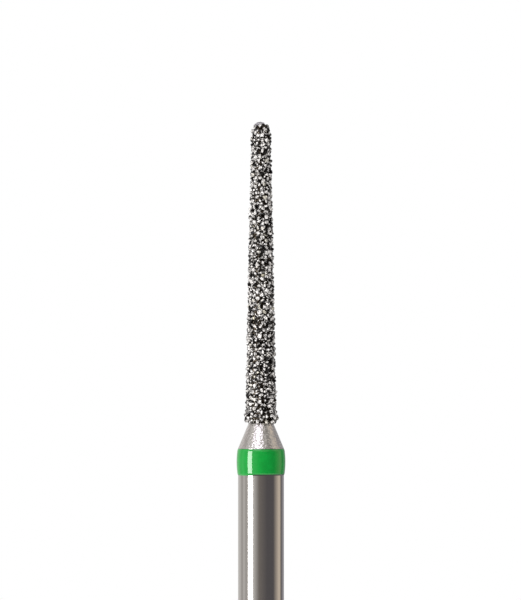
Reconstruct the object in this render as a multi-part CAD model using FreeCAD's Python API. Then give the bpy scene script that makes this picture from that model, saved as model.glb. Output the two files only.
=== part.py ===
"""Friction-grip dental bur: a turned steel blank, a colour band, a nickel plating and its diamond grains.

Millimetres. The axis is +Z, the origin is the centre of the shank's flat end, and the round tip points up.
"""

import FreeCAD, Part

import math
import os
import random

from FreeCAD import Placement, Rotation, Vector

# Shank: the ground cylinder that the handpiece's chuck grips.
shank_diameter = 1.6
shank_length = 11.2
end_chamfer = 0.2

# Colour band: a ring of cured lacquer in a shallow groove, just under the neck.
band_height = 0.925
band_proud = 0.053
band_crown = 0.02
band_edge_height = 0.12
groove_depth = 0.05
groove_dip = 0.005
groove_wall = 0.05
groove_land = 0.02

# Neck: the cone from the shank down to the thickness of the head's core.
neck_length = 0.93

# Head: the tapered core with a round tip, under the plating.
head_length = 10.32
core_tip_radius = 0.20
core_taper_deg = 1.15

# Nickel plating over the core, with a thicker bead where it stops on the neck.
plating_thickness = 0.05
plating_overlap = 0.06
bead_thickness = 0.09
bead_rise = 0.20
bead_fade = 0.35

# Diamond grains: octahedral crystals, each with one face seated on the plating.
grain_radius = 0.062
grain_radius_smallest = 0.046
grain_clearance = 0.002
grain_tries = 18500
grain_seed = 534
crown_grain_radius = 0.13
# An octahedron that stands on a face has this many sides round it, and looks the same after each.
crystal_sides = 3
# The size of the crystal's outer face and its height, as shares of the radius of the seated face.
grain_habits = [(0.80, 1.30), (0.62, 1.50), (0.92, 1.05), (0.48, 1.20)]
crown_habit = (0.82, 0.45)

# Places and radii that follow from the sizes above.
axis_foot = Vector(0, 0, 0)
axis_up = Vector(0, 0, 1)
full_turn = 360
shank_radius = shank_diameter / 2
band_radius = shank_radius + band_proud
groove_radius = shank_radius - groove_depth
groove_top = shank_length - groove_land
groove_bottom = groove_top - band_height
neck_top = shank_length + neck_length
tip_centre = neck_top + head_length - core_tip_radius
taper = math.radians(core_taper_deg)


def at(radius, height):
    """A point of a profile, in the XZ plane."""
    return Vector(radius, 0, height)


def lines(*points):
    """Straight edges from each point to the next."""
    return [Part.LineSegment(a, b).toShape() for a, b in zip(points, points[1:])]


def arc(start, through, end):
    """A round edge through three points."""
    return Part.Arc(start, through, end).toShape()


def rounded(start, end, upright):
    """A round edge from start to end that runs along the axis at its upright end."""
    other = end if upright == start else start
    radius = upright.distanceToPoint(other) ** 2 / (2 * (upright.x - other.x))
    centre = at(upright.x - radius, upright.z)
    middle = (start + end) / 2 - centre
    return arc(start, centre + middle.normalize() * abs(radius), end)


def turned(edges):
    """The solid that a closed profile sweeps round the axis."""
    return Part.Face(Part.Wire(edges)).revolve(axis_foot, axis_up, full_turn)


def head_radius(height, offset=0.0):
    """The radius of the head's flank, a distance outside the bare core."""
    tip_radius = core_tip_radius + offset
    tangent_height = tip_centre + tip_radius * math.sin(taper)
    return tip_radius * math.cos(taper) + (tangent_height - height) * math.tan(taper)


def tip_point(angle, offset=0.0):
    """A point on the head's round tip, at an angle above the tip's centre."""
    tip_radius = core_tip_radius + offset
    return at(tip_radius * math.cos(angle), tip_centre + tip_radius * math.sin(angle))


def head_outline(foot, offset=0.0):
    """The flank from a foot point up to the round tip, and the tip up to the axis."""
    shoulder = tip_point(taper, offset)
    middle = tip_point((taper + math.pi / 2) / 2, offset)
    crown = tip_point(math.pi / 2, offset)
    crown.x = 0
    return lines(foot, shoulder) + [arc(shoulder, middle, crown)]


def neck_radius(height):
    """The neck's radius, on the cone between the shank and the core."""
    core_base = head_radius(neck_top)
    return core_base + (shank_radius - core_base) * (neck_top - height) / neck_length


def groove_outline():
    """The groove's profile: slanted walls, and a floor that dips so that the lacquer locks in."""
    floor_edge = groove_radius + groove_dip
    return lines(
        at(shank_radius, groove_bottom),
        at(floor_edge, groove_bottom + groove_wall),
        at(groove_radius, (groove_bottom + groove_top) / 2),
        at(floor_edge, groove_top - groove_wall),
        at(shank_radius, groove_top),
    )


def steel_blank():
    """Shank, groove, neck and the head's core, turned from one bar."""
    shank = lines(
        at(0, 0),
        at(shank_radius - end_chamfer, 0),
        at(shank_radius, end_chamfer),
        at(shank_radius, groove_bottom),
    )
    core_base = at(head_radius(neck_top), neck_top)
    neck = lines(at(shank_radius, groove_top), at(shank_radius, shank_length), core_base)
    head = head_outline(core_base)
    return turned(shank + groove_outline() + neck + head + lines(tip_point(math.pi / 2), at(0, 0)))


def colour_band():
    """The lacquer ring: it fills the groove and swells out a little, as wet lacquer draws itself."""
    bottom = at(shank_radius, groove_bottom)
    top = at(shank_radius, groove_top)
    low = at(band_radius - band_crown, groove_bottom + band_edge_height)
    widest = at(band_radius, (groove_bottom + groove_top) / 2)
    high = at(band_radius - band_crown, groove_top - band_edge_height)
    outside = [rounded(bottom, low, low), arc(low, widest, high), rounded(high, top, high)]
    return turned(outside + groove_outline()[::-1])


def plating_outline():
    """The plating's outer profile: out over the bead, up the flank and over the round tip."""
    edge_height = neck_top - plating_overlap
    crest_height = edge_height + bead_rise
    crest_radius = head_radius(crest_height, bead_thickness)
    fade_height = crest_height + bead_fade
    edge = at(neck_radius(edge_height), edge_height)
    crest = at(crest_radius, crest_height)
    fade = at(head_radius(fade_height, plating_thickness), fade_height)
    halfway = (crest + fade) / 2
    bead = [rounded(edge, crest, crest), rounded(crest, halfway, crest), rounded(halfway, fade, fade)]
    return bead + head_outline(fade, plating_thickness)


def nickel_plating():
    """The electroplated layer that grips the grains, closed over the tip."""
    outside = plating_outline()
    core_base = at(head_radius(neck_top), neck_top)
    inside = lines(outside[0].Vertexes[0].Point, core_base) + head_outline(core_base)
    crown = lines(tip_point(math.pi / 2), tip_point(math.pi / 2, plating_thickness))
    return turned(outside + crown + inside)


def crystal(outer_share, height_share):
    """An octahedral grain of unit radius: its seated face lies on z = 0, and its outer face is above it."""
    seated = [Vector(math.cos(a), math.sin(a), 0) for a in corner_angles(0)]
    outer = [
        Vector(outer_share * math.cos(a), outer_share * math.sin(a), height_share)
        for a in corner_angles(math.pi / crystal_sides)
    ]
    faces = [seated[::-1], outer]
    for i in range(crystal_sides):
        after = (i + 1) % crystal_sides
        faces.append([seated[i], seated[after], outer[i]])
        faces.append([outer[i], seated[after], outer[after]])
    shell = Part.Shell([Part.Face(Part.makePolygon(corners + corners[:1])) for corners in faces])
    shell.sewShape()
    return Part.Solid(shell)


def corner_angles(first):
    """The angles of a triangular face's corners."""
    return [first + i * 2 * math.pi / crystal_sides for i in range(crystal_sides)]


def on_outline(outline, distance):
    """The point and the outward normal at a distance along an outline."""
    edge, *later = outline
    while later and distance > edge.Length:
        distance -= edge.Length
        edge, *later = later
    place = edge.getParameterByLength(min(distance, edge.Length))
    tangent = edge.tangentAt(place)
    return edge.valueAt(place), Vector(tangent.z, 0, -tangent.x)


def cell_of(point, size):
    """The cell that holds a point, in a grid that finds neighbours quickly."""
    return tuple(math.floor(value / size) for value in point)


def grain_seats():
    """The crown grain's place, and the rest by chance: large ones first, then smaller ones in the gaps."""
    chance = random.Random(grain_seed)
    outline = plating_outline()
    length = sum(edge.Length for edge in outline)
    widest = max(edge.BoundBox.XMax for edge in outline)
    crown = on_outline(outline, length)[0]
    cell = grain_radius + max(grain_radius, crown_grain_radius) + grain_clearance
    taken = {cell_of(crown, cell): [(crown, crown_grain_radius)]}
    seats = [(Placement(crown, Rotation()), crown_grain_radius, crown_habit)]
    for attempt in range(grain_tries):
        radius = grain_radius + (grain_radius_smallest - grain_radius) * attempt / grain_tries
        point, normal = on_outline(outline, chance.uniform(radius, length))
        if chance.uniform(0, widest) > point.x:
            continue
        around = Rotation(axis_up, chance.uniform(0, full_turn))
        point = around.multVec(point)
        x, y, z = cell_of(point, cell)
        near = [
            other
            for i in (-1, 0, 1)
            for j in (-1, 0, 1)
            for k in (-1, 0, 1)
            for other in taken.get((x + i, y + j, z + k), [])
        ]
        if any(point.distanceToPoint(p) < radius + r + grain_clearance for p, r in near):
            continue
        taken.setdefault((x, y, z), []).append((point, radius))
        upright = Rotation(axis_up, around.multVec(normal))
        spin = Rotation(axis_up, chance.uniform(0, full_turn / crystal_sides))
        habit = chance.choice(grain_habits)
        seats.append((Placement(point, upright.multiply(spin)), radius, habit))
    return seats


def diamond_grains():
    """The abrasive: separate crystals, each seated by one face on the plating."""
    crystals = {habit: crystal(*habit) for habit in grain_habits + [crown_habit]}
    grains = []
    for seat, radius, habit in grain_seats():
        grain = crystals[habit].copy()
        grain.scale(radius)
        grain.Placement = seat
        grains.append(grain)
    return Part.makeCompound(grains)


pieces = {
    "steel_blank": steel_blank,
    "colour_band": colour_band,
    "nickel_plating": nickel_plating,
    "diamond_grains": diamond_grains,
}

os.makedirs("parts", exist_ok=True)
for name, make in pieces.items():
    shape = make()
    shape.exportStep(f"parts/{name}.step")
    print(name, len(shape.Solids), "solids", round(shape.Volume, 4), "mm3")
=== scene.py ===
"""Looks of a friction-grip diamond dental bur: steel blank, lacquer band, nickel plating and diamond grit."""

import math
import random

import bmesh
import bpy
from bpy.props import FloatProperty, FloatVectorProperty, IntProperty, PointerProperty
from mathutils import Matrix, Vector, kdtree, noise


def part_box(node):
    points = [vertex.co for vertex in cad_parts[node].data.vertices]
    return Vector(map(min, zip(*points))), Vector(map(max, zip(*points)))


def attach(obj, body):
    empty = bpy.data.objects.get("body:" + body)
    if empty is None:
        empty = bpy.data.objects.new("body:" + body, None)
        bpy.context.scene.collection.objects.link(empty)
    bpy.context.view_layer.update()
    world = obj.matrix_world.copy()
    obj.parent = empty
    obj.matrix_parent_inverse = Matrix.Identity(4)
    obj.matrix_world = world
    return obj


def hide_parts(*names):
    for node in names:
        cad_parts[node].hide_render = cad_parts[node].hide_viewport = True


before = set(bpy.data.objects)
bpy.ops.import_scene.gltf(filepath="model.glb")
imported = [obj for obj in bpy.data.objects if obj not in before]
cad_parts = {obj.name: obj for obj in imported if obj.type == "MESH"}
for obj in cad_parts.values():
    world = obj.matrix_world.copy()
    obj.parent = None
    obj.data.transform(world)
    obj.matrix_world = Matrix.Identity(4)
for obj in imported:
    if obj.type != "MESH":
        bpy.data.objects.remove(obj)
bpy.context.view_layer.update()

bl_info = {
    "name": "Diamond Dental Bur",
    "version": (1, 0, 0),
    "blender": (4, 5, 0),
    "location": "3D View > Sidebar > Dental Bur",
    "description": "Turns, lacquers, plates and grits a friction-grip dental bur, and lights it",
    "category": "Add Mesh",
}

MM = 0.001
FULL_TURN = 2 * math.pi
UP = Vector((0, 0, 1))
MERGE = 0.0001 * MM
CRISP_ANGLE = math.radians(35)
# Points along one tool mark on the neck, round the steel's tip and the plating's, outside and inside, and along the
# arcs of the band and of the plating's bead.
MARK_POINTS = 4
CORE_TIP_STEPS = 10
PLATING_TIP_STEPS, HIDDEN_TIP_STEPS = 14, 6
BAND_EDGE_STEPS, BAND_CROWN_STEPS = 8, 5
BEAD_STEPS, BEAD_FADE_STEPS = 9, 6
# How deep a tool mark is, and its shallow side, as shares of the greatest depth and of its own.
MARK_DEPTHS, MARK_SHOULDERS = (0.15, 1), (0.2, 0.7)
# How light the lacquer is in its darker clouds, and under the painted shade along its edges, over its own colour.
CLOUD_SHADE, PAINTED_EDGE_SHADE = 0.88, 0.04
# How far a grain's nickel collar reaches, over the radius of its seat, and the share of the plating's thickness below
# which the skin stays smooth.
COLLAR_REACH, SMOOTH_SHARE = 1.5, 0.3
# How far from the middle a crystal's corners and its broken faces are cut, and its shortest edge, as shares of its
# half width.
CORNER_CUTS, FRACTURE_CUTS, SHORTEST_EDGE = (0.95, 1.35), (0.6, 0.95), 0.08
# How much the crystals on the grains' seats differ in half width.
WIDTH_RANGE = (0.9, 1.1)
# A small crystal's size over the largest, the share of its radius that keeps off a large one's seat, the height of
# its middle over the plating as a share of its radius, and how many of the last small ones it keeps off.
FINES_RANGE, FINES_CLEAR, FINES_STAND, FINES_NEAR = (0.5, 1), 0.6, 0.4, 400
# The beta distribution of the crystals' lightness, how much of a facet's it makes, the range of the facet's own, and
# the mean and deviation of the crystals' warmth.
BODY_BETA, BODY_SHARE, FACET_RANGE, WARMTH_GAUSS = (0.7, 0.7), 0.5, (-0.3, 0.5), (-0.5, 0.45)

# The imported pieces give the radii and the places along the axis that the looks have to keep.
blank_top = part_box("steel_blank")[1].z
band_low, band_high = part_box("colour_band")
plating_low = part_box("nickel_plating")[0]
SHANK_RADIUS = min(-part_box("steel_blank")[0].x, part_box("steel_blank")[1].x)
BAND_RADIUS = min(-band_low.x, band_high.x)


def linear(code):
    """An sRGB hex colour as the linear values that shaders and lamps take."""
    parts = [int(code[i : i + 2], 16) / 255 for i in (1, 3, 5)]
    return [p / 12.92 if p <= 0.04045 else ((p + 0.055) / 1.055) ** 2.4 for p in parts]


def length(name, description, millimetres):
    """A length property, with its default in millimetres."""
    return FloatProperty(name=name, description=description, default=millimetres * MM, unit="LENGTH", precision=6)


def angle(name, description, degrees):
    """An angle property, with its default in degrees."""
    return FloatProperty(name=name, description=description, default=math.radians(degrees), unit="ROTATION")


def swatch(name, description, code):
    """A colour property, with its default in sRGB hex."""
    return FloatVectorProperty(
        name=name, description=description, default=linear(code), size=3, min=0, max=1, subtype="COLOR"
    )


class BurSizes(bpy.types.PropertyGroup):
    """Sizes of the turned and plated pieces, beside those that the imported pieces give."""

    facets: IntProperty(name="Facets Round", description="Facets round a turned piece", default=160, min=24, max=256)
    end_chamfer: length("End Chamfer", "Chamfer round the shank's flat end", 0.2)
    edge_radius: length("Edge Radius", "Radius that breaks each turned edge", 0.012)
    groove_land: length("Groove Land", "Bare shank between the band and the neck", 0.004)
    groove_depth: length("Groove Depth", "Depth of the band's groove in its middle", 0.05)
    groove_dip: length("Groove Dip", "How far the groove's floor dips to its middle", 0.005)
    groove_wall: length("Groove Wall", "Height of each slanted wall of the groove", 0.05)
    neck_length: length("Neck Length", "Height of the cone between the shank and the head", 0.946)
    feed: length("Turning Feed", "Spacing of the tool marks on the neck", 0.078)
    mark_depth: length("Mark Depth", "Greatest depth of a tool mark on the neck", 0.004)
    core_tip: length("Core Tip Radius", "Radius of the steel's round tip", 0.2)
    core_taper: angle("Core Taper", "Slope of the head's flank", 1.15)
    band_crown: length("Band Crown", "How far the lacquer swells out between its edges", 0.02)
    band_edge: length("Band Edge", "Height of the lacquer's rounded edges", 0.12)
    # Painted shade darkens the lacquer over this height at its foot.
    dark_rim: length("Dark Rim", "Height over which the lacquer darkens at its foot", 0.055)
    plating: length("Plating Thickness", "Nickel over the core, between the grains", 0.05)
    bead: length("Bead Thickness", "Nickel near the line where the plating stops", 0.09)
    bead_rise: length("Bead Rise", "Height of the bead's lower roll", 0.2)
    bead_fade: length("Bead Fade", "Height over which the bead thins out again", 0.35)
    plating_pitch: length("Plating Pitch", "Spacing of the points that shape the plating", 0.03)
    nodule_width: length("Nodule Width", "Width of the plating's nodules", 0.045)
    nodule_height: length("Nodule Height", "Height of the plating's nodules", 0.009)
    collar_height: length("Collar Height", "How far the nickel climbs up a grain", 0.02)


class BurGrit(bpy.types.PropertyGroup):
    """Sizes and numbers of the diamond crystals."""

    seed: IntProperty(name="Seed", description="Chooses the crystals' shapes and tones", default=11)
    habits: IntProperty(name="Crystal Shapes", description="How many different crystals there are", default=24, min=1)
    fractures: IntProperty(name="Fractures", description="Broken faces on each crystal", default=3, min=0)
    spread: FloatProperty(name="Spread", description="A crystal's half width over its seat's radius", default=1.08)
    stand: FloatProperty(name="Stand", description="How much taller a crystal is before it breaks", default=1.18)
    tip_stand: FloatProperty(name="Tip Stand", description="The same, for a crystal on the round tip", default=0.85)
    buried: length("Buried Depth", "How deep a crystal's foot is sunk in the nickel", 0.03)
    fines: IntProperty(name="Fines", description="Tries at a small crystal between the large ones", default=7000)
    fines_radius: length("Fines Radius", "Half width of the largest small crystals", 0.04)
    cap_spread: FloatProperty(name="Cap Spread", description="The tip crystal's half width over its seat", default=1.43)
    cap_depth: FloatProperty(name="Cap Depth", description="Its half height over the packed grain's", default=1.5)
    cap_tilt: angle("Cap Tilt", "How far the tip crystal leans", 12)
    cap_shift: length("Cap Shift", "How far the tip crystal lies beside the axis", 0.07)
    cap_sink: length("Cap Sink", "How far the tip crystal lies below the packed one", 0.021)
    cap_cut: FloatProperty(name="Cap Cut", description="How blunt the tip crystal's corners are", default=0.8)
    # The painted reflections inside a crystal are drawn as cells this wide.
    cell: length("Inner Facets", "Width of the facets that show through a crystal", 0.07)


class BurColours(bpy.types.PropertyGroup):
    """Colours of the bur's finishes."""

    steel: swatch("Steel", "Ground and turned stainless steel", "#c8c5c1")
    lacquer: swatch("Lacquer", "Cured green lacquer, which marks coarse grit", "#049334")
    nickel: swatch("Nickel", "Electroplated nickel", "#5f574c")
    # Painted shade for the nickel in the pits between the grains.
    pit_shade: swatch("Pits", "Nickel at the bottom of the pits between the grains", "#15100b")
    # The dark and light ends of the painted reflections and painted shade on the crystals' facets.
    diamond_dark: swatch("Dark Diamond", "A facet that lets the light through", "#080503")
    diamond_light: swatch("Light Diamond", "A facet that sends the light back", "#fcf8f3")
    diamond_warm: swatch("Warm Diamond", "The tint of the yellower crystals", "#dcd3b4")
    growth_dark: swatch("Growth Streak", "A streak on a face that the diamond grew", "#57545b")
    growth_light: swatch("Growth Face", "A face that the diamond grew", "#b3afb4")
    paper_fibre: swatch("Paper Fibre", "The floor's paper, in the shade of a fibre", "#f0f0ef")
    paper: swatch("Paper", "The floor's matt white paper", "#f7f7f6")


class BurStudio(bpy.types.PropertyGroup):
    """The camera, fitted to the bur's place in the photograph, and the lights round it."""

    photo_height: FloatProperty(name="Photo Height", description="Rows of the photograph", default=600)
    photo_middle: FloatProperty(name="Photo Middle", description="Middle column of the photograph", default=260.5)
    axis_column: FloatProperty(name="Axis Column", description="Column of the bur's axis", default=261.0)
    shank_top_row: FloatProperty(name="Shank Top Row", description="Row where the neck starts", default=448.5)
    shank_columns: FloatProperty(name="Shank Columns", description="Width of the shank in pixels", default=46.0)
    camera_distance: length("Camera Distance", "From the lens to the bur's axis", 250)
    sensor: length("Sensor", "Height of the camera's sensor", 36)
    floor_radius: length("Floor Radius", "Radius of the pale floor", 32)
    lamp_distance: length("Lamp Distance", "From a softbox to the bur's head", 300)
    key_colour: swatch("Key Colour", "Colour of the strip softbox", "#ffffff")
    key_level: FloatProperty(name="Key Level", description="Brightness of the strip softbox", default=9.5)
    key_width: length("Key Width", "Width of the strip softbox", 118)
    key_height: length("Key Height", "Height of the strip softbox", 200)
    key_turn: angle("Key Turn", "How far round the bur from the camera the strip softbox stands", -55)
    key_rise: angle("Key Rise", "How high above the bur the strip softbox stands", 0)
    top_colour: swatch("Top Colour", "Colour of the overhead softbox", "#edecff")
    top_level: FloatProperty(name="Top Level", description="Brightness of the overhead softbox", default=2.3)
    top_width: length("Top Width", "Width of the overhead softbox", 180)
    top_height: length("Top Height", "Height of the overhead softbox", 117)
    top_turn: angle("Top Turn", "How far round the bur from the camera the overhead softbox stands", -23)
    top_rise: angle("Top Rise", "How high above the bur the overhead softbox stands", 46)


def new_piece(name, bm, materials, node):
    """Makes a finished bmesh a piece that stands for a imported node."""
    mesh = bpy.data.meshes.new(name)
    bm.to_mesh(mesh)
    bm.free()
    for material in materials:
        mesh.materials.append(material)
    piece = bpy.data.objects.new(name, mesh)
    bpy.context.scene.collection.objects.link(piece)
    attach(piece, "root")
    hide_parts(node)


def new_material(name):
    """An empty node material: itself, its node tree, and the place on the piece, which its patterns follow."""
    material = bpy.data.materials.new(name)
    material.use_nodes = True
    tree = material.node_tree
    tree.nodes.clear()
    return material, tree, add(tree, "ShaderNodeTexCoord").outputs["Object"]


def finished(material, looks):
    """A material, with a Principled surface of these looks."""
    tree = material.node_tree
    shader = add(tree, "ShaderNodeBsdfPrincipled", looks)
    add(tree, "ShaderNodeOutputMaterial", {"Surface": shader.outputs["BSDF"]})
    return material


def add(tree, kind, inputs=None, **settings):
    """Adds a node with its settings. Each input is another node's output, or a value."""
    node = tree.nodes.new(kind)
    for key, value in settings.items():
        setattr(node, key, value)
    for key, value in (inputs or {}).items():
        if isinstance(value, bpy.types.NodeSocket):
            tree.links.new(value, node.inputs[key])
        else:
            node.inputs[key].default_value = value
    return node


def set_stops(ramp, stops):
    """Gives a colour ramp its stops, each a place and a linear colour."""
    elements = ramp.color_ramp.elements
    elements.remove(elements[1])
    for i, (place, colour) in enumerate(stops):
        element = elements[0] if i == 0 else elements.new(place)
        element.position = place
        element.color = (*colour, 1)


def per_mm(millimetres):
    """The scale that makes a texture's features this wide."""
    return 1 / (millimetres * MM)


def streaks(tree, place, stretch, spacing):
    """Streaks that run across the Z axis, so many millimetres apart along it."""
    along = add(tree, "ShaderNodeMapping", {"Vector": place, "Scale": (stretch, stretch, 1)}).outputs["Vector"]
    return add(tree, "ShaderNodeTexNoise", {"Vector": along, "Scale": per_mm(spacing), "Detail": 2.0}).outputs["Fac"]


def lined_steel(material, colours, lines, smooth, dull, bump):
    """Stainless steel, between a smooth and a dull roughness by its fine lines."""
    rough = add(material.node_tree, "ShaderNodeMapRange", {"Value": lines, "To Min": smooth, "To Max": dull})
    looks = {
        "Base Color": (*colours.steel, 1),
        "Metallic": 1.0,
        "Roughness": rough.outputs["Result"],
        "Normal": bump.outputs["Normal"],
    }
    return finished(material, looks)


def ground_steel(colours):
    """Stainless steel, centreless ground and polished. It mirrors the studio in crisp straight bands, and fine
    grinding lines run round it. The lines are drawn 0.05 mm apart, coarser than the wheel leaves them."""
    material, tree, place = new_material("ground_stainless_steel")
    lines = streaks(tree, place, 0.02, 0.05)
    bump = add(tree, "ShaderNodeBump", {"Height": lines, "Strength": 0.05, "Distance": 0.002 * MM})
    return lined_steel(material, colours, lines, 0.08, 0.14, bump)


def turned_steel(colours):
    """The same steel as the lathe leaves it on the neck: bright, a little soft, with fine scratches round it and
    short chatter dents. The dents are drawn 0.08 mm apart, coarser than the tool leaves them."""
    material, tree, place = new_material("turned_stainless_steel")
    lines = streaks(tree, place, 0.1, 0.04)
    dents = add(tree, "ShaderNodeTexNoise", {"Vector": place, "Scale": per_mm(0.08), "Detail": 1.0}).outputs["Fac"]
    dented = add(tree, "ShaderNodeBump", {"Height": dents, "Strength": 1.0, "Distance": 0.02 * MM}).outputs["Normal"]
    bump = add(tree, "ShaderNodeBump", {"Height": lines, "Strength": 0.3, "Distance": 0.004 * MM, "Normal": dented})
    return lined_steel(material, colours, lines, 0.12, 0.22, bump)


def cured_lacquer(colours, sizes):
    """Epoxy lacquer, laid on while the bur spins and cured: a saturated green under a wet, faintly wavy gloss. Painted
    shade makes it almost black along its foot in places, and a softer painted dark line runs along its upper edge."""
    material, tree, place = new_material("cured_green_lacquer")
    pigment = add(tree, "ShaderNodeTexNoise", {"Vector": place, "Scale": per_mm(0.2), "Detail": 3.0})
    ramp = add(tree, "ShaderNodeValToRGB", {"Fac": pigment.outputs["Fac"]})
    set_stops(ramp, [(0.35, [c * CLOUD_SHADE for c in colours.lacquer]), (0.65, colours.lacquer)])
    height = add(tree, "ShaderNodeSeparateXYZ", {"Vector": place}).outputs["Z"]
    # Painted shade at the lacquer's foot, which the noise below keeps to patches.
    rim = add(
        tree,
        "ShaderNodeMapRange",
        {"Value": height, "From Min": band_low.z + sizes.dark_rim, "From Max": band_low.z + sizes.dark_rim / 2},
    ).outputs["Result"]
    band_rise = (0, 0, band_high.z - band_low.z)
    lifted = add(tree, "ShaderNodeMapping", {"Vector": place, "Location": band_rise}).outputs["Vector"]
    drawn = add(tree, "ShaderNodeTexNoise", {"Vector": lifted, "Scale": per_mm(0.9), "Detail": 0.0}).outputs["Fac"]
    patchy = add(tree, "ShaderNodeMapRange", {"Value": drawn, "From Min": 0.36, "From Max": 0.46}).outputs["Result"]
    rim = add(tree, "ShaderNodeMath", {0: rim, 1: patchy}, operation="MULTIPLY").outputs["Value"]
    # A softer painted dark line along the lacquer's upper edge.
    line = add(
        tree,
        "ShaderNodeMapRange",
        {"Value": height, "From Min": band_high.z - sizes.dark_rim / 2, "From Max": band_high.z, "To Max": 0.7},
    ).outputs["Result"]
    rim = add(tree, "ShaderNodeMath", {0: rim, 1: line}, operation="MAXIMUM").outputs["Value"]
    # The colour of the painted shade along the lacquer's edges.
    edge_shade_colour = (*[c * PAINTED_EDGE_SHADE for c in colours.lacquer], 1)
    body = add(tree, "ShaderNodeMix", {"Factor": rim, 6: ramp.outputs["Color"], 7: edge_shade_colour}, data_type="RGBA")
    swell = add(tree, "ShaderNodeTexNoise", {"Vector": place, "Scale": per_mm(0.5), "Detail": 1.0})
    bump = add(tree, "ShaderNodeBump", {"Height": swell.outputs["Fac"], "Strength": 0.3, "Distance": 0.01 * MM})
    looks = {
        "Base Color": body.outputs[2],
        "Roughness": 0.5,
        "Specular IOR Level": 0.0,
        "Coat Weight": 1.0,
        "Coat Roughness": 0.03,
        "Coat IOR": 1.6,
        "Coat Normal": bump.outputs["Normal"],
    }
    return finished(material, looks)


def plated_nickel(colours):
    """Electroplated nickel: a dull grey nodular skin, darker at random, and almost black in the pits between the
    grains, where the darkness is painted shade.
    """
    material, tree, place = new_material("electroplated_nickel")
    collar = add(tree, "ShaderNodeAttribute", attribute_name="collar").outputs["Fac"]
    cloud = add(tree, "ShaderNodeTexNoise", {"Vector": place, "Scale": per_mm(0.08), "Detail": 3.0}).outputs["Fac"]
    # Painted shade: the nickel is lighter up each grain's collar and almost black in the pits away from the grains, at
    # random in between.
    height = add(tree, "ShaderNodeMath", {0: cloud, 1: 0.6, 2: collar}, operation="MULTIPLY_ADD").outputs["Value"]
    ramp = add(tree, "ShaderNodeValToRGB", {"Fac": height})
    set_stops(ramp, [(0.3, colours.pit_shade), (0.9, colours.nickel)])
    nodules = add(tree, "ShaderNodeTexVoronoi", {"Vector": place, "Scale": per_mm(0.02)}).outputs["Distance"]
    bump = add(tree, "ShaderNodeBump", {"Height": nodules, "Strength": 0.5, "Distance": 0.004 * MM})
    looks = {
        "Base Color": ramp.outputs["Color"],
        "Metallic": 1.0,
        "Roughness": 0.32,
        "Normal": bump.outputs["Normal"],
    }
    return finished(material, looks)


def diamond(colours, grit):
    """Crushed synthetic diamond, its colour painted with reflections and shade. Each facet is painted light or dark at
    random for what the crystal behind it sends back, the far facets are painted as bright cells with black lines
    between them, painted shade darkens a crystal towards its foot, and a facet that is seen nearly edge-on is painted
    dark, as glass sends nothing back there."""
    material, tree, place = new_material("synthetic_diamond_grit")
    tone, warmth, rise, own = (
        add(tree, "ShaderNodeAttribute", attribute_name=name).outputs["Fac"]
        for name in ("tone", "warmth", "rise", "own")
    )
    # Painted reflections: cells of random lightness for the far facets that show through a crystal.
    bent = add(tree, "ShaderNodeTexNoise", {"Vector": place, "Scale": per_mm(0.06), "Detail": 1.0}).outputs["Color"]
    bent = add(
        tree, "ShaderNodeVectorMath", {0: bent, 1: (0.04 * MM,) * 3, 2: place}, operation="MULTIPLY_ADD"
    ).outputs["Vector"]
    apart = add(
        tree, "ShaderNodeVectorMath", {0: own, 1: (3 * MM,) * 3, 2: bent}, operation="MULTIPLY_ADD"
    ).outputs["Vector"]
    cells = {"Vector": apart, "Scale": 1 / grit.cell}
    cell = add(tree, "ShaderNodeTexVoronoi", cells).outputs["Color"]
    cell = add(tree, "ShaderNodeSeparateColor", {"Color": cell}).outputs["Red"]
    # Painted shade: black lines between the cells.
    gap = add(tree, "ShaderNodeTexVoronoi", cells, feature="DISTANCE_TO_EDGE").outputs["Distance"]
    line = add(tree, "ShaderNodeMapRange", {"Value": gap, "From Min": 0.04, "From Max": 0.09}).outputs["Result"]
    level = add(tree, "ShaderNodeMath", {0: cell, 1: 0.9, 2: tone}, operation="MULTIPLY_ADD").outputs["Value"]
    level = add(tree, "ShaderNodeMapRange", {"Value": level, "From Min": 0.14, "From Max": 0.22}).outputs["Result"]
    # Painted shade, darker towards each crystal's foot.
    foot = add(tree, "ShaderNodeMapRange", {"Value": rise, "From Min": 0.35, "From Max": 0.6}).outputs["Result"]
    # Painted shade on a facet that is seen nearly edge-on.
    facing = add(tree, "ShaderNodeLayerWeight", {"Blend": 0.5}).outputs["Facing"]
    edge_on_shade = add(
        tree,
        "ShaderNodeMapRange",
        {"Value": facing, "From Min": 0.32, "From Max": 0.55, "To Min": 1.0, "To Max": 0.0},
    ).outputs["Result"]
    for share in (line, foot, edge_on_shade):
        level = add(tree, "ShaderNodeMath", {0: level, 1: share}, operation="MULTIPLY").outputs["Value"]
    cold, warm = (*colours.diamond_light, 1), (*colours.diamond_warm, 1)
    light = add(tree, "ShaderNodeMix", {"Factor": warmth, 6: cold, 7: warm}, data_type="RGBA").outputs[2]
    dark = (*colours.diamond_dark, 1)
    facet = add(tree, "ShaderNodeMix", {"Factor": level, 6: dark, 7: light}, data_type="RGBA")
    growth = add(tree, "ShaderNodeTexNoise", {"Vector": place, "Scale": per_mm(0.03), "Detail": 2.0}).outputs["Fac"]
    bump = add(tree, "ShaderNodeBump", {"Height": growth, "Strength": 0.3, "Distance": 0.005 * MM})
    looks = {
        "Base Color": facet.outputs[2],
        "Roughness": 0.15,
        "IOR": 2.42,
        "Specular IOR Level": 0.06,
        "Normal": bump.outputs["Normal"],
    }
    return finished(material, looks)


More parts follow.
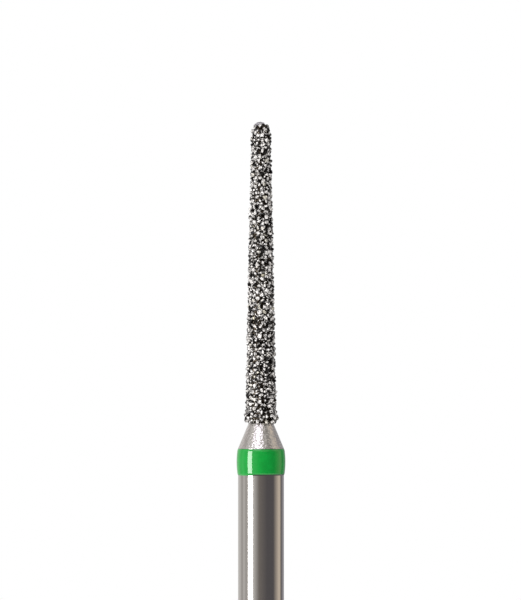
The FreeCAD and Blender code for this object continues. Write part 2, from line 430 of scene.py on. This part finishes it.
def growth_face(colours):
    """The faces that a diamond grows: a pale, even grey with fine darker streaks, without the glitter of crushed
    facets. The streaks are drawn 0.05 mm apart, coarser than the crystal's own growth steps."""
    material, tree, place = new_material("diamond_growth_face")
    lean = (0, math.radians(-30), 0)
    leaning = add(tree, "ShaderNodeMapping", {"Vector": place, "Rotation": lean}).outputs["Vector"]
    ramp = add(tree, "ShaderNodeValToRGB", {"Fac": streaks(tree, leaning, 0.25, 0.05)})
    set_stops(ramp, [(0.35, colours.growth_dark), (0.55, colours.growth_light)])
    looks = {"Base Color": ramp.outputs["Color"], "Roughness": 0.3, "IOR": 2.42, "Specular IOR Level": 0.1}
    return finished(material, looks)


class Blank:
    """The form that the steel blank, the plating and the grit share: a neck cone and a tapered core."""

    def __init__(self, sizes):
        self.tip_radius = sizes.core_tip
        self.taper = sizes.core_taper
        self.tip_centre = blank_top - sizes.core_tip
        self.neck_foot = band_high.z + sizes.groove_land
        self.neck_top = self.neck_foot + sizes.neck_length
        self.neck_top_radius = self.radius(self.neck_top)
        self.neck_slope = (SHANK_RADIUS - self.neck_top_radius) / sizes.neck_length

    def radius(self, height, offset=0.0):
        """The flank's radius at a height, a distance outside the bare core."""
        tip_radius = self.tip_radius + offset
        shoulder = self.tip_centre + tip_radius * math.sin(self.taper)
        return tip_radius * math.cos(self.taper) + (shoulder - height) * math.tan(self.taper)

    def neck_radius(self, height):
        """The cone's radius at a height."""
        return self.neck_top_radius + (self.neck_top - height) * self.neck_slope

    def on_tip(self, turn, offset=0.0):
        """A point of the round tip, at an angle above its centre."""
        tip_radius = self.tip_radius + offset
        return Vector((tip_radius * math.cos(turn), self.tip_centre + tip_radius * math.sin(turn)))

    def tip_run(self, offset, steps):
        """The round tip from its shoulder to the axis."""
        turns = [self.taper + (math.pi / 2 - self.taper) * i / steps for i in range(steps)]
        crown = Vector((0, self.tip_centre + self.tip_radius + offset))
        return [self.on_tip(turn, offset) for turn in turns] + [crown]

    def height_over(self, place):
        """How far a place lies outside the steel."""
        if place.z > self.tip_centre:
            return (place - Vector((0, 0, self.tip_centre))).length - self.tip_radius
        steel = self.neck_radius(place.z) if place.z < self.neck_top else self.radius(place.z)
        return place.xy.length - steel


def line_run(start, end, steps):
    """Points after the start of a straight line, to its end."""
    return [start.lerp(end, i / steps) for i in range(1, steps + 1)]


def arc_run(start, end, upright, steps):
    """Points after the start of an arc, to its end. The arc runs along the axis at its upright end."""
    other = end if upright is start else start
    radius = (upright - other).length_squared / (2 * (upright.x - other.x))
    centre = upright - Vector((radius, 0))
    turn = (start - centre).angle_signed(end - centre)
    return [centre + Matrix.Rotation(-turn * i / steps, 2) @ (start - centre) for i in range(1, steps + 1)]


def held_runs(corners, margin):
    """Straight runs from corner to corner, with a point near each end that keeps the shading of the run straight."""
    outline = [corners[0]]
    for start, end in zip(corners, corners[1:]):
        share = min(0.4, margin / (end - start).length)
        outline += [start.lerp(end, share), end.lerp(start, share), end]
    return outline


def spun(outline, steps, closed=False):
    """An outline of (radius, height) points, spun right round the axis into a closed smooth skin."""
    bm = bmesh.new()
    verts = [bm.verts.new((point.x, 0, point.y)) for point in outline]
    edges = [bm.edges.new(pair) for pair in zip(verts, verts[1:] + (verts[:1] if closed else []))]
    bmesh.ops.spin(bm, geom=verts + edges, cent=(0, 0, 0), axis=UP, angle=FULL_TURN, steps=steps, use_merge=True)
    bmesh.ops.remove_doubles(bm, verts=bm.verts, dist=MERGE)
    bmesh.ops.recalc_face_normals(bm, faces=bm.faces)
    for face in bm.faces:
        face.smooth = True
    for edge in bm.edges:
        edge.smooth = edge.calc_face_angle(0) < CRISP_ANGLE
    return bm


def break_edge(bm, place, radius):
    """Rounds the turned edge that runs round the axis through a (radius, height) place."""
    ring = [v for v in bm.verts if abs(v.co.xy.length - place.x) < MERGE and abs(v.co.z - place.y) < MERGE]
    edges = [e for v in ring for e in v.link_edges if e.other_vert(v) in ring]
    bmesh.ops.bevel(
        bm,
        geom=list(set(edges)),
        offset=radius,
        offset_type="OFFSET",
        affect="EDGES",
        segments=3,
        profile=0.5,
        material=-1,
    )


def groove_run(sizes):
    """The groove's corners, from its lower edge to its upper one."""
    floor_edge = SHANK_RADIUS - sizes.groove_depth + sizes.groove_dip
    return [
        Vector((SHANK_RADIUS, band_low.z)),
        Vector((floor_edge, band_low.z + sizes.groove_wall)),
        Vector((SHANK_RADIUS - sizes.groove_depth, (band_low.z + band_high.z) / 2)),
        Vector((floor_edge, band_high.z - sizes.groove_wall)),
        Vector((SHANK_RADIUS, band_high.z)),
    ]


def grain_seats():
    """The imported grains, read from their own triangles: each one's place, outward direction, radius and height."""
    bm = bmesh.new()
    bm.from_mesh(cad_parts["diamond_grains"].data)
    bmesh.ops.remove_doubles(bm, verts=bm.verts, dist=MERGE)
    tip_centre = Blank(bpy.context.scene.bur_sizes).tip_centre
    seats = []
    left = set(bm.faces)
    while left:
        grain = [left.pop()]
        for face in grain:
            beside = {other for edge in face.edges for other in edge.link_faces if other in left}
            left -= beside
            grain += beside
        middle = sum((face.calc_center_median() for face in grain), Vector()) / len(grain)
        outward = Vector((middle.x, middle.y, max(0, middle.z - tip_centre)))
        seated = min(grain, key=lambda face: face.normal.dot(outward))
        place = seated.calc_center_median()
        away = -seated.normal
        height = max((v.co - place).dot(away) for face in grain for v in face.verts)
        seats.append((place, away, (seated.verts[0].co - place).length, height))
    bm.free()
    return sorted(seats, key=lambda seat: (round(seat[0].z / MERGE), math.atan2(seat[0].y, seat[0].x)))


def seat_finder(places):
    """Finds the places that are near a point."""
    finder = kdtree.KDTree(len(places))
    for i, place in enumerate(places):
        finder.insert(place, i)
    finder.balance()
    return finder


class BUR_OT_steel_blank(bpy.types.Operator):
    """Turn the blank from one bar: the ground shank with its groove, the neck and the head's core"""

    bl_idname = "dental_bur.steel_blank"
    bl_label = "Steel Blank"

    def execute(self, context):
        sizes, colours = context.scene.bur_sizes, context.scene.bur_colours
        blank = Blank(sizes)
        chance = random.Random(sizes.facets)
        end_edge = Vector((SHANK_RADIUS - sizes.end_chamfer, 0))
        side_edge = Vector((SHANK_RADIUS, sizes.end_chamfer))
        neck_foot = Vector((SHANK_RADIUS, blank.neck_foot))
        corners = [Vector((0, 0)), end_edge, side_edge] + groove_run(sizes) + [neck_foot]
        outline = held_runs(corners, sizes.edge_radius * 0.8)
        marks = round(sizes.neck_length / sizes.feed)
        neck = line_run(neck_foot, Vector((blank.neck_top_radius, blank.neck_top)), MARK_POINTS * marks)
        for i in range(1, len(neck) - 1, MARK_POINTS):
            depth = sizes.mark_depth * chance.uniform(*MARK_DEPTHS)
            neck[i].x -= depth
            neck[i - 1].x -= depth * chance.uniform(*MARK_SHOULDERS)
        outline += neck + blank.tip_run(0, CORE_TIP_STEPS)
        bm = spun(outline, sizes.facets)
        for face in bm.faces:
            face.material_index = int(face.calc_center_median().z > blank.neck_foot)
        for edge in (end_edge, side_edge):
            break_edge(bm, edge, sizes.edge_radius / 2)
        new_piece("turned_blank", bm, [ground_steel(colours), turned_steel(colours)], "steel_blank")
        return {"FINISHED"}


class BUR_OT_lacquer_band(bpy.types.Operator):
    """Fill the groove with the lacquer band, which swells out a little between its rounded edges"""

    bl_idname = "dental_bur.lacquer_band"
    bl_label = "Lacquer Band"

    def execute(self, context):
        sizes = context.scene.bur_sizes
        groove = groove_run(sizes)
        bottom, top = groove[0], groove[-1]
        low = Vector((BAND_RADIUS - sizes.band_crown, bottom.y + sizes.band_edge))
        widest = Vector((BAND_RADIUS, (bottom.y + top.y) / 2))
        high = Vector((BAND_RADIUS - sizes.band_crown, top.y - sizes.band_edge))
        outline = [bottom] + arc_run(bottom, low, low, BAND_EDGE_STEPS)
        outline += arc_run(low, widest, widest, BAND_CROWN_STEPS) + arc_run(widest, high, widest, BAND_CROWN_STEPS)
        outline += arc_run(high, top, high, BAND_EDGE_STEPS)[:-1] + groove[:0:-1]
        bm = spun(outline, sizes.facets, closed=True)
        new_piece("lacquer_band", bm, [cured_lacquer(context.scene.bur_colours, sizes)], "colour_band")
        return {"FINISHED"}


class BUR_OT_nickel_skin(bpy.types.Operator):
    """Plate the head: a nodular skin that climbs up each grain and stops in a bead on the neck"""

    bl_idname = "dental_bur.nickel_skin"
    bl_label = "Nickel Skin"

    def execute(self, context):
        sizes = context.scene.bur_sizes
        blank = Blank(sizes)
        foot = Vector((blank.neck_radius(plating_low.z), plating_low.z))
        crest_height = foot.y + sizes.bead_rise
        crest = Vector((blank.radius(crest_height, sizes.bead), crest_height))
        fade_height = crest_height + sizes.bead_fade
        fade = Vector((blank.radius(fade_height, sizes.plating), fade_height))
        halfway = (crest + fade) / 2
        shoulder = blank.on_tip(blank.taper, sizes.plating)
        rows = round((shoulder.y - fade.y) / sizes.plating_pitch)
        outline = [foot] + arc_run(foot, crest, crest, BEAD_STEPS) + arc_run(crest, halfway, crest, BEAD_FADE_STEPS)
        outline += arc_run(halfway, fade, fade, BEAD_FADE_STEPS) + line_run(fade, shoulder, rows)
        outline += blank.tip_run(sizes.plating, PLATING_TIP_STEPS)[1:]
        outline += blank.tip_run(0, HIDDEN_TIP_STEPS)[::-1] + [Vector((blank.neck_top_radius, blank.neck_top))]
        around = round(FULL_TURN * crest.x / sizes.plating_pitch)
        bm = spun(outline, around, closed=True)
        self.grow(bm, blank, sizes)
        new_piece("nickel_skin", bm, [plated_nickel(context.scene.bur_colours)], "nickel_plating")
        return {"FINISHED"}

    def grow(self, bm, blank, sizes):
        """Raises nodules, and a collar round each grain."""
        seats = grain_seats()
        finder = seat_finder([seat[0] for seat in seats])
        collar = bm.verts.layers.float.new("collar")
        bm.normal_update()
        moves = []
        for vert in bm.verts:
            place = vert.co
            over = blank.height_over(place)
            share = min(1, max(0, over / sizes.plating - SMOOTH_SHARE))
            lift = sizes.nodule_height * noise.noise(place / sizes.nodule_width)
            index, distance = finder.find(place)[1:]
            reach = seats[index][2] * COLLAR_REACH
            # The collar's share also lightens the nickel's colour, against the painted shade in the pits.
            vert[collar] = max(0, 1 - (distance / reach) ** 2)
            lift += sizes.collar_height * vert[collar]
            moves.append(vert.normal * lift * share)
        for vert, move in zip(bm.verts, moves):
            vert.co += move


CUBE_CORNERS = [Vector((x, y, z)).normalized() for x in (-1, 1) for y in (-1, 1) for z in (-1, 1)]


def crystal_shapes(chance, grit):
    """Blocky crystals of unit half width: cubes cut back by their octahedron's planes, then broken at random."""
    shapes = []
    for _ in range(grit.habits):
        cuts = [(corner, chance.uniform(*CORNER_CUTS)) for corner in CUBE_CORNERS]
        cuts += [(random_direction(chance), chance.uniform(*FRACTURE_CUTS)) for _ in range(grit.fractures)]
        shapes.append(cut_crystal(cuts))
    return shapes


def cut_crystal(cuts):
    """A cube of unit half width, cut back to planes, each given by its direction and its distance."""
    bm = bmesh.new()
    bmesh.ops.create_cube(bm, size=2)
    for direction, distance in cuts:
        cut_off(bm, direction, distance)
    bmesh.ops.remove_doubles(bm, verts=bm.verts, dist=SHORTEST_EDGE)
    bmesh.ops.dissolve_degenerate(bm, edges=bm.edges, dist=0.01)
    bmesh.ops.recalc_face_normals(bm, faces=bm.faces)
    mesh = bpy.data.meshes.new("crystal_shape")
    bm.to_mesh(mesh)
    bm.free()
    return mesh


def cut_off(bm, direction, distance):
    """Cuts a crystal back to a plane and closes it."""
    geom = bm.verts[:] + bm.edges[:] + bm.faces[:]
    bmesh.ops.bisect_plane(bm, geom=geom, plane_co=direction * distance, plane_no=direction, clear_outer=True)
    bmesh.ops.holes_fill(bm, edges=[e for e in bm.edges if e.is_boundary], sides=0)


def random_direction(chance):
    """A direction, each as likely as the next."""
    height = chance.uniform(-1, 1)
    around = chance.uniform(0, FULL_TURN)
    level = math.sqrt(1 - height * height)
    return Vector((level * math.cos(around), level * math.sin(around), height))


def random_turn(chance):
    """A rotation, for a crystal that fell as it liked."""
    return Matrix.Rotation(chance.uniform(0, FULL_TURN), 4, random_direction(chance))


def crystal_place(place, away, half_width, half_height, middle, turn):
    """The matrix that turns, sizes and seats a unit crystal, its middle a height above the plating."""
    upright = away.to_track_quat("Z", "Y").to_matrix().to_4x4()
    size = Matrix.Diagonal((half_width, half_width, half_height, 1))
    return Matrix.Translation(place + away * middle) @ upright @ size @ turn


class BUR_OT_diamond_grit(bpy.types.Operator):
    """Set a blocky crystal on each packed grain's seat, and small ones in the gaps between them"""

    bl_idname = "dental_bur.diamond_grit"
    bl_label = "Diamond Grit"

    def execute(self, context):
        grit = context.scene.bur_grit
        chance = random.Random(grit.seed)
        shapes = crystal_shapes(chance, grit)
        seats = grain_seats()
        crown = max(seats, key=lambda seat: seat[2])
        tip_centre = Blank(context.scene.bur_sizes).tip_centre
        places = []
        for seat in seats:
            place, away, radius, height = seat
            if seat is crown:
                continue
            half_width = radius * grit.spread * chance.uniform(*WIDTH_RANGE)
            stand = grit.tip_stand if place.z > tip_centre else grit.stand
            half_height = (height + grit.buried) / 2 * stand
            middle = half_height - grit.buried
            places.append(crystal_place(place, away, half_width, half_height, middle, random_turn(chance)))
        places += self.fines(context, chance, seats)
        blunt = cut_crystal([(corner, grit.cap_cut) for corner in CUBE_CORNERS])
        crystals = [(chance.choice(shapes), matrix) for matrix in places] + [(blunt, self.cap(grit, crown))]
        bm = bmesh.new()
        grains = []
        for shape, matrix in crystals:
            crystal = shape.copy()
            crystal.transform(matrix)
            bm.from_mesh(crystal)
            bpy.data.meshes.remove(crystal)
            grains.append((len(bm.faces), matrix))
        self.tone(bm, grains, chance)
        for shape in [*shapes, blunt]:
            bpy.data.meshes.remove(shape)
        looks = [diamond(context.scene.bur_colours, grit), growth_face(context.scene.bur_colours)]
        new_piece("diamond_grit", bm, looks, "diamond_grains")
        return {"FINISHED"}

    def tone(self, bm, grains, chance):
        """Writes on each crystal how light its facets' painted reflections are, how warm it is, its own number, and how
        far each corner is from its foot, for the painted shade there. The last one, the tip's, shows its growth faces."""
        tone = bm.faces.layers.float.new("tone")
        warm = bm.faces.layers.float.new("warmth")
        own = bm.faces.layers.float.new("own")
        rise = bm.verts.layers.float.new("rise")
        bm.faces.ensure_lookup_table()
        first = 0
        for last, matrix in grains:
            faces = bm.faces[first:last]
            first = last
            away = matrix.to_3x3().col[2]
            corners = {vert for face in faces for vert in face.verts}
            heights = {vert: vert.co.dot(away) for vert in corners}
            foot, top = min(heights.values()), max(heights.values())
            for vert, height in heights.items():
                vert[rise] = (height - foot) / (top - foot)
            body = chance.betavariate(*BODY_BETA)
            warmth = max(0, chance.gauss(*WARMTH_GAUSS))
            number = chance.random()
            for face in faces:
                face[tone] = body * BODY_SHARE + chance.uniform(*FACET_RANGE)
                face[warm] = min(1, warmth)
                face[own] = number
        for face in faces:
            face.material_index = 1

    def cap(self, grit, crown):
        """The place of the broad flat crystal that lies over the tip, a little to one side and tilted that way."""
        place, away, radius, height = crown
        tilted = Matrix.Rotation(-grit.cap_tilt, 3, "Y") @ away
        place = place + Vector((-grit.cap_shift, 0, -grit.cap_sink))
        half_height = height * grit.cap_depth
        return crystal_place(place, tilted, radius * grit.cap_spread, half_height, height - half_height, Matrix())

    def fines(self, context, chance, seats):
        """Places for small crystals, wherever the large ones leave room."""
        grit, sizes = context.scene.bur_grit, context.scene.bur_sizes
        blank = Blank(sizes)
        finder = seat_finder([seat[0] for seat in seats])
        low = plating_low.z + sizes.bead_rise / 2
        taken, places = [], []
        for _ in range(grit.fines):
            height = chance.uniform(low, blank.tip_centre)
            around = chance.uniform(0, FULL_TURN)
            radius = grit.fines_radius * chance.uniform(*FINES_RANGE)
            flank = blank.radius(height, sizes.plating)
            place = Vector((flank * math.cos(around), flank * math.sin(around), height))
            index, distance = finder.find(place)[1:]
            if distance < seats[index][2] + radius * FINES_CLEAR:
                continue
            if any((place - other).length < radius + size for other, size in taken[-FINES_NEAR:]):
                continue
            taken.append((place, radius))
            away = Vector((place.x, place.y, flank * math.sin(blank.taper))).normalized()
            places.append(crystal_place(place, away, radius, radius, radius * FINES_STAND, random_turn(chance)))
        return places


# The studio's few tones: the white backdrop, diffusers, cards, walls and the dark room in front of the bur.
BACKDROP, DIFFUSER, WARM_DIFFUSER = "#ffffff", "#f4eeee", "#faecdc"
PALE_CARD, PLAIN_CARD, GREY_CARD, WARM_CARD = "#e0dedc", "#ccc8c4", "#b8b4b2", "#e6d8c8"
COOL_WALL, DIM_WALL, DARK_ROOM = "#a2a0a6", "#86807c", "#646164"
# Where the steel mirrors them, by the direction from the bur: degrees from the camera's side, left first.
SIDE_LIGHT = [
    (-180, BACKDROP),
    (-160, PALE_CARD),
    (-130, PALE_CARD),
    (-110, GREY_CARD),
    (-95, PALE_CARD),
    (-80, GREY_CARD),
    (-60, PALE_CARD),
    (-40, PALE_CARD),
    (-10, DIM_WALL),
    (30, DARK_ROOM),
    (65, DARK_ROOM),
    (100, WARM_CARD),
    (110, WARM_CARD),
    (120, DARK_ROOM),
    (135, COOL_WALL),
    (160, COOL_WALL),
    (180, BACKDROP),
]
# The same, as the neck's cone mirrors it from higher up.
UPPER_LIGHT = [
    (-180, BACKDROP),
    (-130, DIFFUSER),
    (-110, GREY_CARD),
    (-90, PALE_CARD),
    (-50, DIFFUSER),
    (15, DIFFUSER),
    (20, PLAIN_CARD),
    (35, PLAIN_CARD),
    (45, DIM_WALL),
    (70, PLAIN_CARD),
    (90, WARM_DIFFUSER),
    (115, COOL_WALL),
    (140, PLAIN_CARD),
    (180, BACKDROP),
]
OVERHEAD_LIGHT = "#ffffff"
# The elevations, in degrees, over which one band of light passes into the next.
UPPER_STARTS, UPPER_FULL = 8, 22
OVERHEAD_STARTS, OVERHEAD_FULL = 50, 75
# The plain soft light that falls on matt surfaces, from the sides and from above.
SOFT_SIDE_LIGHT, SOFT_TOP_LIGHT = "#cbcaca", "#ffffff"


def pale_floor(studio, colours):
    """Matt white paper that passes into the white backdrop towards its edge."""
    material, tree, place = new_material("white_paper_floor")
    away = add(tree, "ShaderNodeVectorMath", {0: place}, operation="LENGTH").outputs["Value"]
    fade = add(
        tree,
        "ShaderNodeMapRange",
        {"Value": away, "From Min": studio.floor_radius * 0.15, "From Max": studio.floor_radius * 0.9},
        interpolation_type="SMOOTHSTEP",
    ).outputs["Result"]
    fibre = add(tree, "ShaderNodeTexNoise", {"Vector": place, "Scale": per_mm(0.4), "Detail": 3.0}).outputs["Fac"]
    ramp = add(tree, "ShaderNodeValToRGB", {"Fac": fibre})
    set_stops(ramp, [(0.3, colours.paper_fibre), (0.7, colours.paper)])
    paper = add(tree, "ShaderNodeBsdfPrincipled", {"Base Color": ramp.outputs["Color"], "Roughness": 0.9})
    white = add(tree, "ShaderNodeEmission", {"Color": (1, 1, 1, 1), "Strength": 1.0})
    # The camera sees the backdrop itself, and so do the rays that metal mirrors or glass passes.
    seen = ray_share(tree, "Is Camera Ray", "Is Glossy Ray", "Is Transmission Ray")
    share = add(tree, "ShaderNodeMath", {0: fade, 1: seen}, operation="MULTIPLY").outputs["Value"]
    mix = add(tree, "ShaderNodeMixShader", {0: share, 1: paper.outputs["BSDF"], 2: white.outputs["Emission"]})
    add(tree, "ShaderNodeOutputMaterial", {"Surface": mix.outputs["Shader"]})
    return material


def ray_share(tree, first, *others):
    """1 for rays of these kinds and 0 for the rest."""
    path = add(tree, "ShaderNodeLightPath").outputs
    share = path[first]
    for other in others:
        share = add(tree, "ShaderNodeMath", {0: share, 1: path[other]}, operation="MAXIMUM").outputs["Value"]
    return share


def light_ramp(tree, around, stops):
    """The colour of the light by its direction round the bur."""
    ramp = add(tree, "ShaderNodeValToRGB", {"Fac": around})
    set_stops(ramp, [(degrees / 360 + 0.5, linear(code)) for degrees, code in stops])
    return ramp.outputs["Color"]


def studio_world(world):
    """White for the camera, and a plain soft light on matt surfaces. Mirrors show white behind the bur, and grey
    cards, the dark room and the ceiling in front of it."""
    world.use_nodes = True
    tree = world.node_tree
    tree.nodes.clear()
    direction = add(tree, "ShaderNodeTexCoord").outputs["Generated"]
    parts = add(tree, "ShaderNodeSeparateXYZ", {"Vector": direction}).outputs
    ahead = add(tree, "ShaderNodeMath", {0: parts["Y"], 1: -1.0}, operation="MULTIPLY").outputs["Value"]
    turn = add(tree, "ShaderNodeMath", {0: parts["X"], 1: ahead}, operation="ARCTAN2").outputs["Value"]
    around = add(
        tree, "ShaderNodeMapRange", {"Value": turn, "From Min": -math.pi, "From Max": math.pi}
    ).outputs["Result"]
    raised = add(tree, "ShaderNodeMath", {0: parts["Z"]}, operation="ARCSINE").outputs["Value"]
    light = light_ramp(tree, around, SIDE_LIGHT)
    layers = [
        (light_ramp(tree, around, UPPER_LIGHT), UPPER_STARTS, UPPER_FULL),
        ((*linear(OVERHEAD_LIGHT), 1), OVERHEAD_STARTS, OVERHEAD_FULL),
    ]
    for colour, starts, full in layers:
        share = add(
            tree,
            "ShaderNodeMapRange",
            {"Value": raised, "From Min": math.radians(starts), "From Max": math.radians(full)},
        ).outputs["Result"]
        light = add(tree, "ShaderNodeMix", {"Factor": share, 6: light, 7: colour}, data_type="RGBA").outputs[2]
    above = add(
        tree, "ShaderNodeMapRange", {"Value": raised, "From Min": 0.0, "From Max": math.radians(OVERHEAD_STARTS)}
    ).outputs["Result"]
    side, top = (*linear(SOFT_SIDE_LIGHT), 1), (*linear(SOFT_TOP_LIGHT), 1)
    soft = add(tree, "ShaderNodeMix", {"Factor": above, 6: side, 7: top}, data_type="RGBA").outputs[2]
    matt = ray_share(tree, "Is Diffuse Ray")
    light = add(tree, "ShaderNodeMix", {"Factor": matt, 6: light, 7: soft}, data_type="RGBA").outputs[2]
    seen = ray_share(tree, "Is Camera Ray", "Is Transmission Ray")
    colour = add(tree, "ShaderNodeMix", {"Factor": seen, 6: light, 7: (1, 1, 1, 1)}, data_type="RGBA").outputs[2]
    background = add(tree, "ShaderNodeBackground", {"Color": colour, "Strength": 1.0})
    add(tree, "ShaderNodeOutputWorld", {"Surface": background.outputs["Background"]})


# What the studio's properties say of a softbox, in the order in which softbox takes them.
SOFTBOX_PARTS = ("colour", "level", "width", "height", "turn", "rise")


def softbox(name, colour, level, width, height, turn, rise, distance, target):
    """An area lamp of a given colour and brightness that faces the bur from a direction, unseen by the camera."""
    lamp = bpy.data.lights.new(name, "AREA")
    lamp.shape = "RECTANGLE"
    lamp.size, lamp.size_y = width, height
    lamp.color = colour
    lamp.energy = level * math.pi * width * height
    softbox_object = bpy.data.objects.new(name, lamp)
    away = Vector((math.sin(turn) * math.cos(rise), -math.cos(turn) * math.cos(rise), math.sin(rise)))
    softbox_object.location = target + away * distance
    softbox_object.rotation_euler = away.to_track_quat("Z", "Y").to_euler()
    softbox_object.visible_camera = False
    bpy.context.scene.collection.objects.link(softbox_object)


class BUR_OT_studio(bpy.types.Operator):
    """Set up the pale floor, the studio light and the camera"""

    bl_idname = "dental_bur.studio"
    bl_label = "Studio"

    def execute(self, context):
        scene, studio, sizes = context.scene, context.scene.bur_studio, context.scene.bur_sizes
        bm = bmesh.new()
        bmesh.ops.create_circle(bm, cap_ends=True, radius=studio.floor_radius, segments=96)
        mesh = bpy.data.meshes.new("floor")
        bm.to_mesh(mesh)
        bm.free()
        mesh.materials.append(pale_floor(studio, scene.bur_colours))
        floor = bpy.data.objects.new("floor", mesh)
        scene.collection.objects.link(floor)
        scene.world = bpy.data.worlds.new("studio")
        studio_world(scene.world)
        pixel = 2 * SHANK_RADIUS / studio.shank_columns
        sight = Vector(
            (
                (studio.photo_middle - studio.axis_column) * pixel,
                0,
                Blank(sizes).neck_foot + (studio.shank_top_row - studio.photo_height / 2) * pixel,
            )
        )
        for name, key in (("key_strip", "key"), ("overhead", "top")):
            setting = [getattr(studio, f"{key}_{part}") for part in SOFTBOX_PARTS]
            softbox(name, *setting, studio.lamp_distance, sight)
        camera = bpy.data.objects.new("camera", bpy.data.cameras.new("camera"))
        camera.data.sensor_width = studio.sensor / MM
        camera.data.lens = camera.data.sensor_width * studio.camera_distance / (studio.photo_height * pixel)
        camera.data.clip_start = 0.01
        camera.location = sight - Vector((0, studio.camera_distance, 0))
        camera.rotation_euler = (math.pi / 2, 0, 0)
        scene.collection.objects.link(camera)
        scene.camera = camera
        scene.view_settings.view_transform = "Standard"
        return {"FINISHED"}


class BUR_PT_sidebar(bpy.types.Panel):
    """The bur's sizes, colours and making steps"""

    bl_idname = "BUR_PT_sidebar"
    bl_label = "Dental Bur"
    bl_space_type = "VIEW_3D"
    bl_region_type = "UI"
    bl_category = "Dental Bur"

    def draw(self, context):
        for maker in makers:
            self.layout.operator(maker.bl_idname)
        for name in property_groups:
            group = getattr(context.scene, name)
            box = self.layout.box()
            for key in group.__annotations__:
                box.prop(group, key)


property_groups = {
    "bur_sizes": BurSizes,
    "bur_grit": BurGrit,
    "bur_colours": BurColours,
    "bur_studio": BurStudio,
}
makers = (BUR_OT_steel_blank, BUR_OT_lacquer_band, BUR_OT_nickel_skin, BUR_OT_diamond_grit, BUR_OT_studio)


def register():
    """Makes the add-on's classes and properties known."""
    for cls in (*property_groups.values(), *makers, BUR_PT_sidebar):
        bpy.utils.register_class(cls)
    for name, group in property_groups.items():
        setattr(bpy.types.Scene, name, PointerProperty(type=group))


def unregister():
    """Takes the add-on's classes and properties away again."""
    for name in property_groups:
        delattr(bpy.types.Scene, name)
    for cls in reversed((*property_groups.values(), *makers, BUR_PT_sidebar)):
        bpy.utils.unregister_class(cls)


def main():
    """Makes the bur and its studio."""
    register()
    bpy.ops.dental_bur.steel_blank()
    bpy.ops.dental_bur.lacquer_band()
    bpy.ops.dental_bur.nickel_skin()
    bpy.ops.dental_bur.diamond_grit()
    bpy.ops.dental_bur.studio()


if __name__ == "__main__":
    main()
